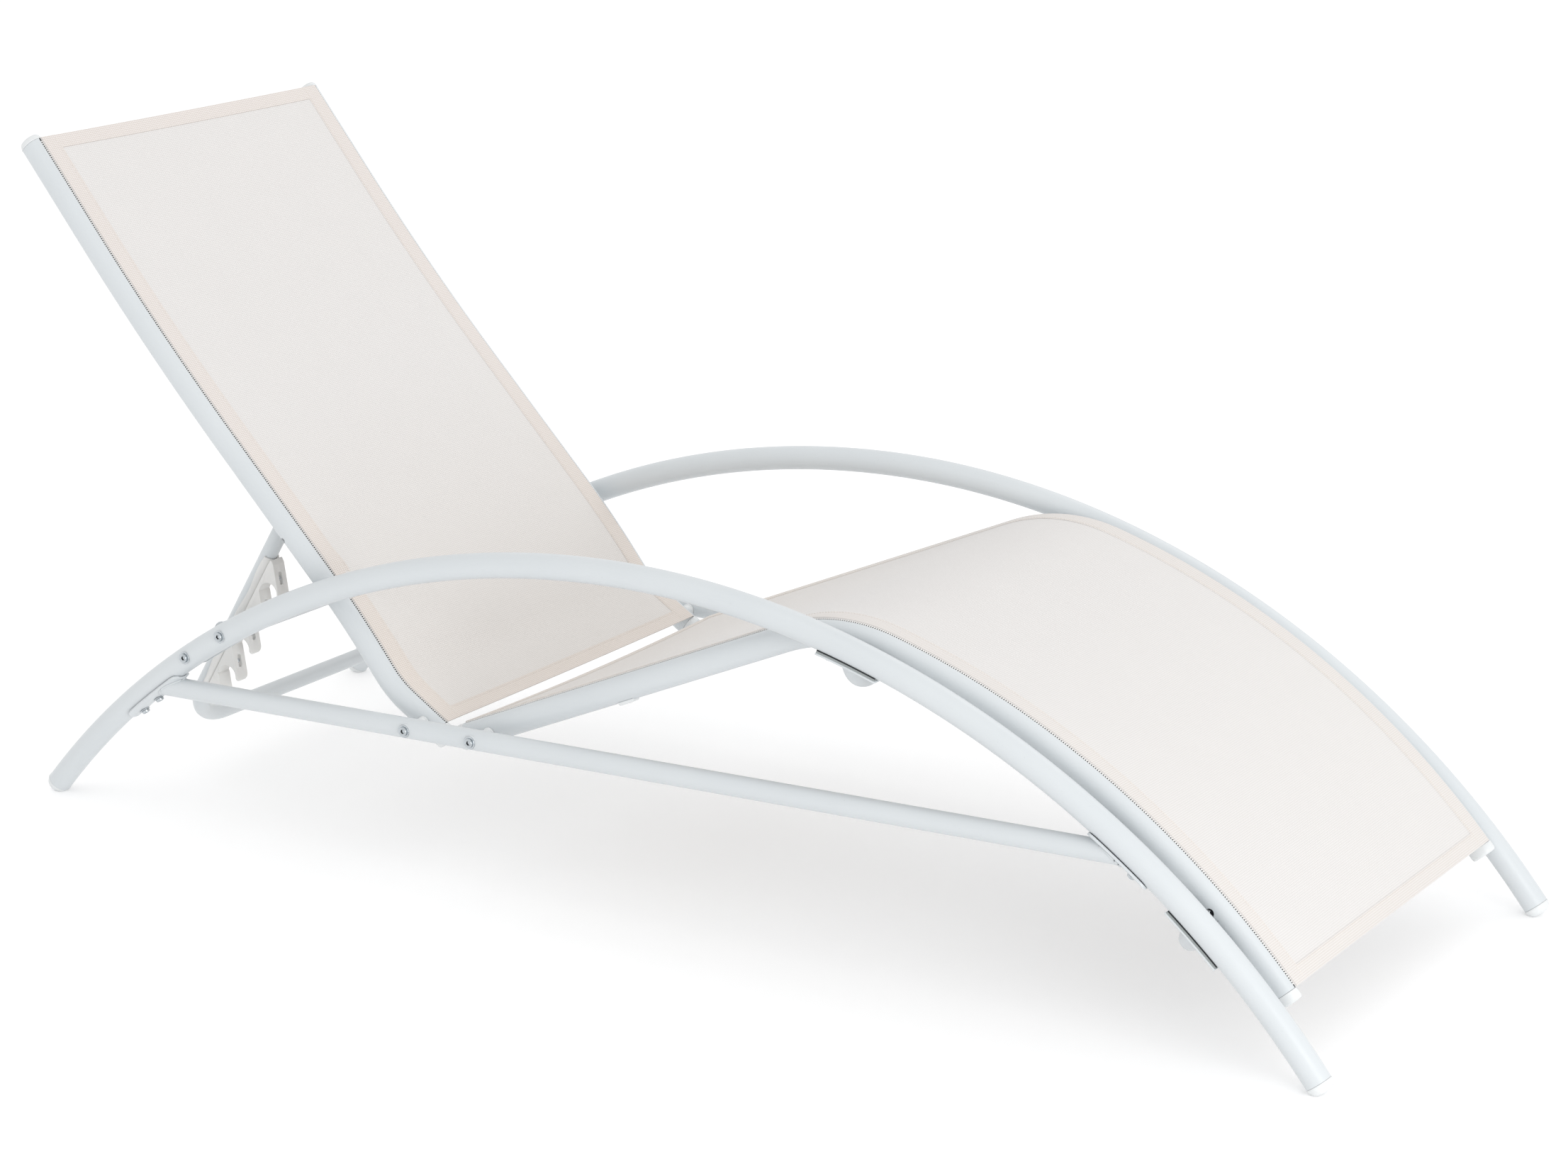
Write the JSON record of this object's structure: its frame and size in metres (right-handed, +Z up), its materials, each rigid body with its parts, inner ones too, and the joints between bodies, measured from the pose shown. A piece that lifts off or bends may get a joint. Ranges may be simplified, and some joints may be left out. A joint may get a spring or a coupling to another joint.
{
  "type": "reclining sun lounger",
  "caption": "Reclining garden lounger with arched tube sides, a fixed seat-and-leg sling and a hinged sling back held by a notched strut.",
  "frame": {"origin": "middle of the footprint on the floor: the bounding box's bottom centre, on the plane of symmetry", "axes": "+Z up, +X from the head end towards the foot end, +Y from the near side towards the far side"},
  "size_m": [1.744, 0.619, 0.8081],
  "materials": {
    "frame_paint": "white powder coat, semi-gloss",
    "cap_plastic": "white moulded plastic, satin",
    "bolt_steel": "zinc-plated, satin",
    "sling_fabric": "cream coated open-weave sling fabric"
  },
  "bodies": {
    "frame": {"arch_near": "frame_paint", "rear_foot_near": "cap_plastic", "front_foot_near": "cap_plastic", "lower_rail_near": "frame_paint", "rear_plate_near": "frame_paint", "front_plate_near": "frame_paint", "back_spacer_near": "cap_plastic", "back_bolt_near": "bolt_steel", "seat_spacer_near": "cap_plastic", "seat_bolt_near": "bolt_steel", "latch_plate_near": "frame_paint", "latch_bolt_1_near": "bolt_steel", "latch_bolt_2_near": "bolt_steel", "seat_rail_near": "frame_paint", "seat_cap_start_near": "cap_plastic", "seat_cap_end_near": "cap_plastic", "knee_saddle_near": "frame_paint", "foot_saddle_near": "frame_paint", "arch_far": "frame_paint", "rear_foot_far": "cap_plastic", "front_foot_far": "cap_plastic", "lower_rail_far": "frame_paint", "rear_plate_far": "frame_paint", "front_plate_far": "frame_paint", "back_spacer_far": "cap_plastic", "back_bolt_far": "bolt_steel", "seat_spacer_far": "cap_plastic", "seat_bolt_far": "bolt_steel", "latch_plate_far": "frame_paint", "latch_bolt_1_far": "bolt_steel", "latch_bolt_2_far": "bolt_steel", "seat_rail_far": "frame_paint", "seat_cap_start_far": "cap_plastic", "seat_cap_end_far": "cap_plastic", "knee_saddle_far": "frame_paint", "foot_saddle_far": "frame_paint", "latch_tube": "frame_paint", "knee_cross_tube": "frame_paint", "foot_cross_tube": "frame_paint", "seat_sling": "sling_fabric"},
    "backrest": {"back_rail_near": "frame_paint", "back_cap_start_near": "cap_plastic", "back_cap_end_near": "cap_plastic", "strut_lug_near": "frame_paint", "strut_bush_near": "cap_plastic", "strut_pin_near": "bolt_steel", "back_rail_far": "frame_paint", "back_cap_start_far": "cap_plastic", "back_cap_end_far": "cap_plastic", "strut_lug_far": "frame_paint", "strut_bush_far": "cap_plastic", "strut_pin_far": "bolt_steel", "back_cross_lower": "frame_paint", "back_cross_upper": "frame_paint", "back_sling": "sling_fabric"},
    "strut": {"strut": "frame_paint", "rack_near": "cap_plastic", "rack_far": "cap_plastic"}
  },
  "joints": [
    {"name": "back_hinge", "type": "hinge", "parent": "frame", "child": "backrest", "pos_m": [-0.2816, 0, 0.17834], "axis": [0, 1, 0], "range_deg": [0, 18]},
    {"name": "strut_hinge", "type": "hinge", "parent": "backrest", "child": "strut", "pos_m": [-0.51771, 0, 0.38754], "axis": [0, 1, 0], "range_deg": [0, 9.72]}
  ],
  "couplings": [
    {"joint": "strut_hinge", "follows": "back_hinge", "ratio": 0.54}
  ]
}
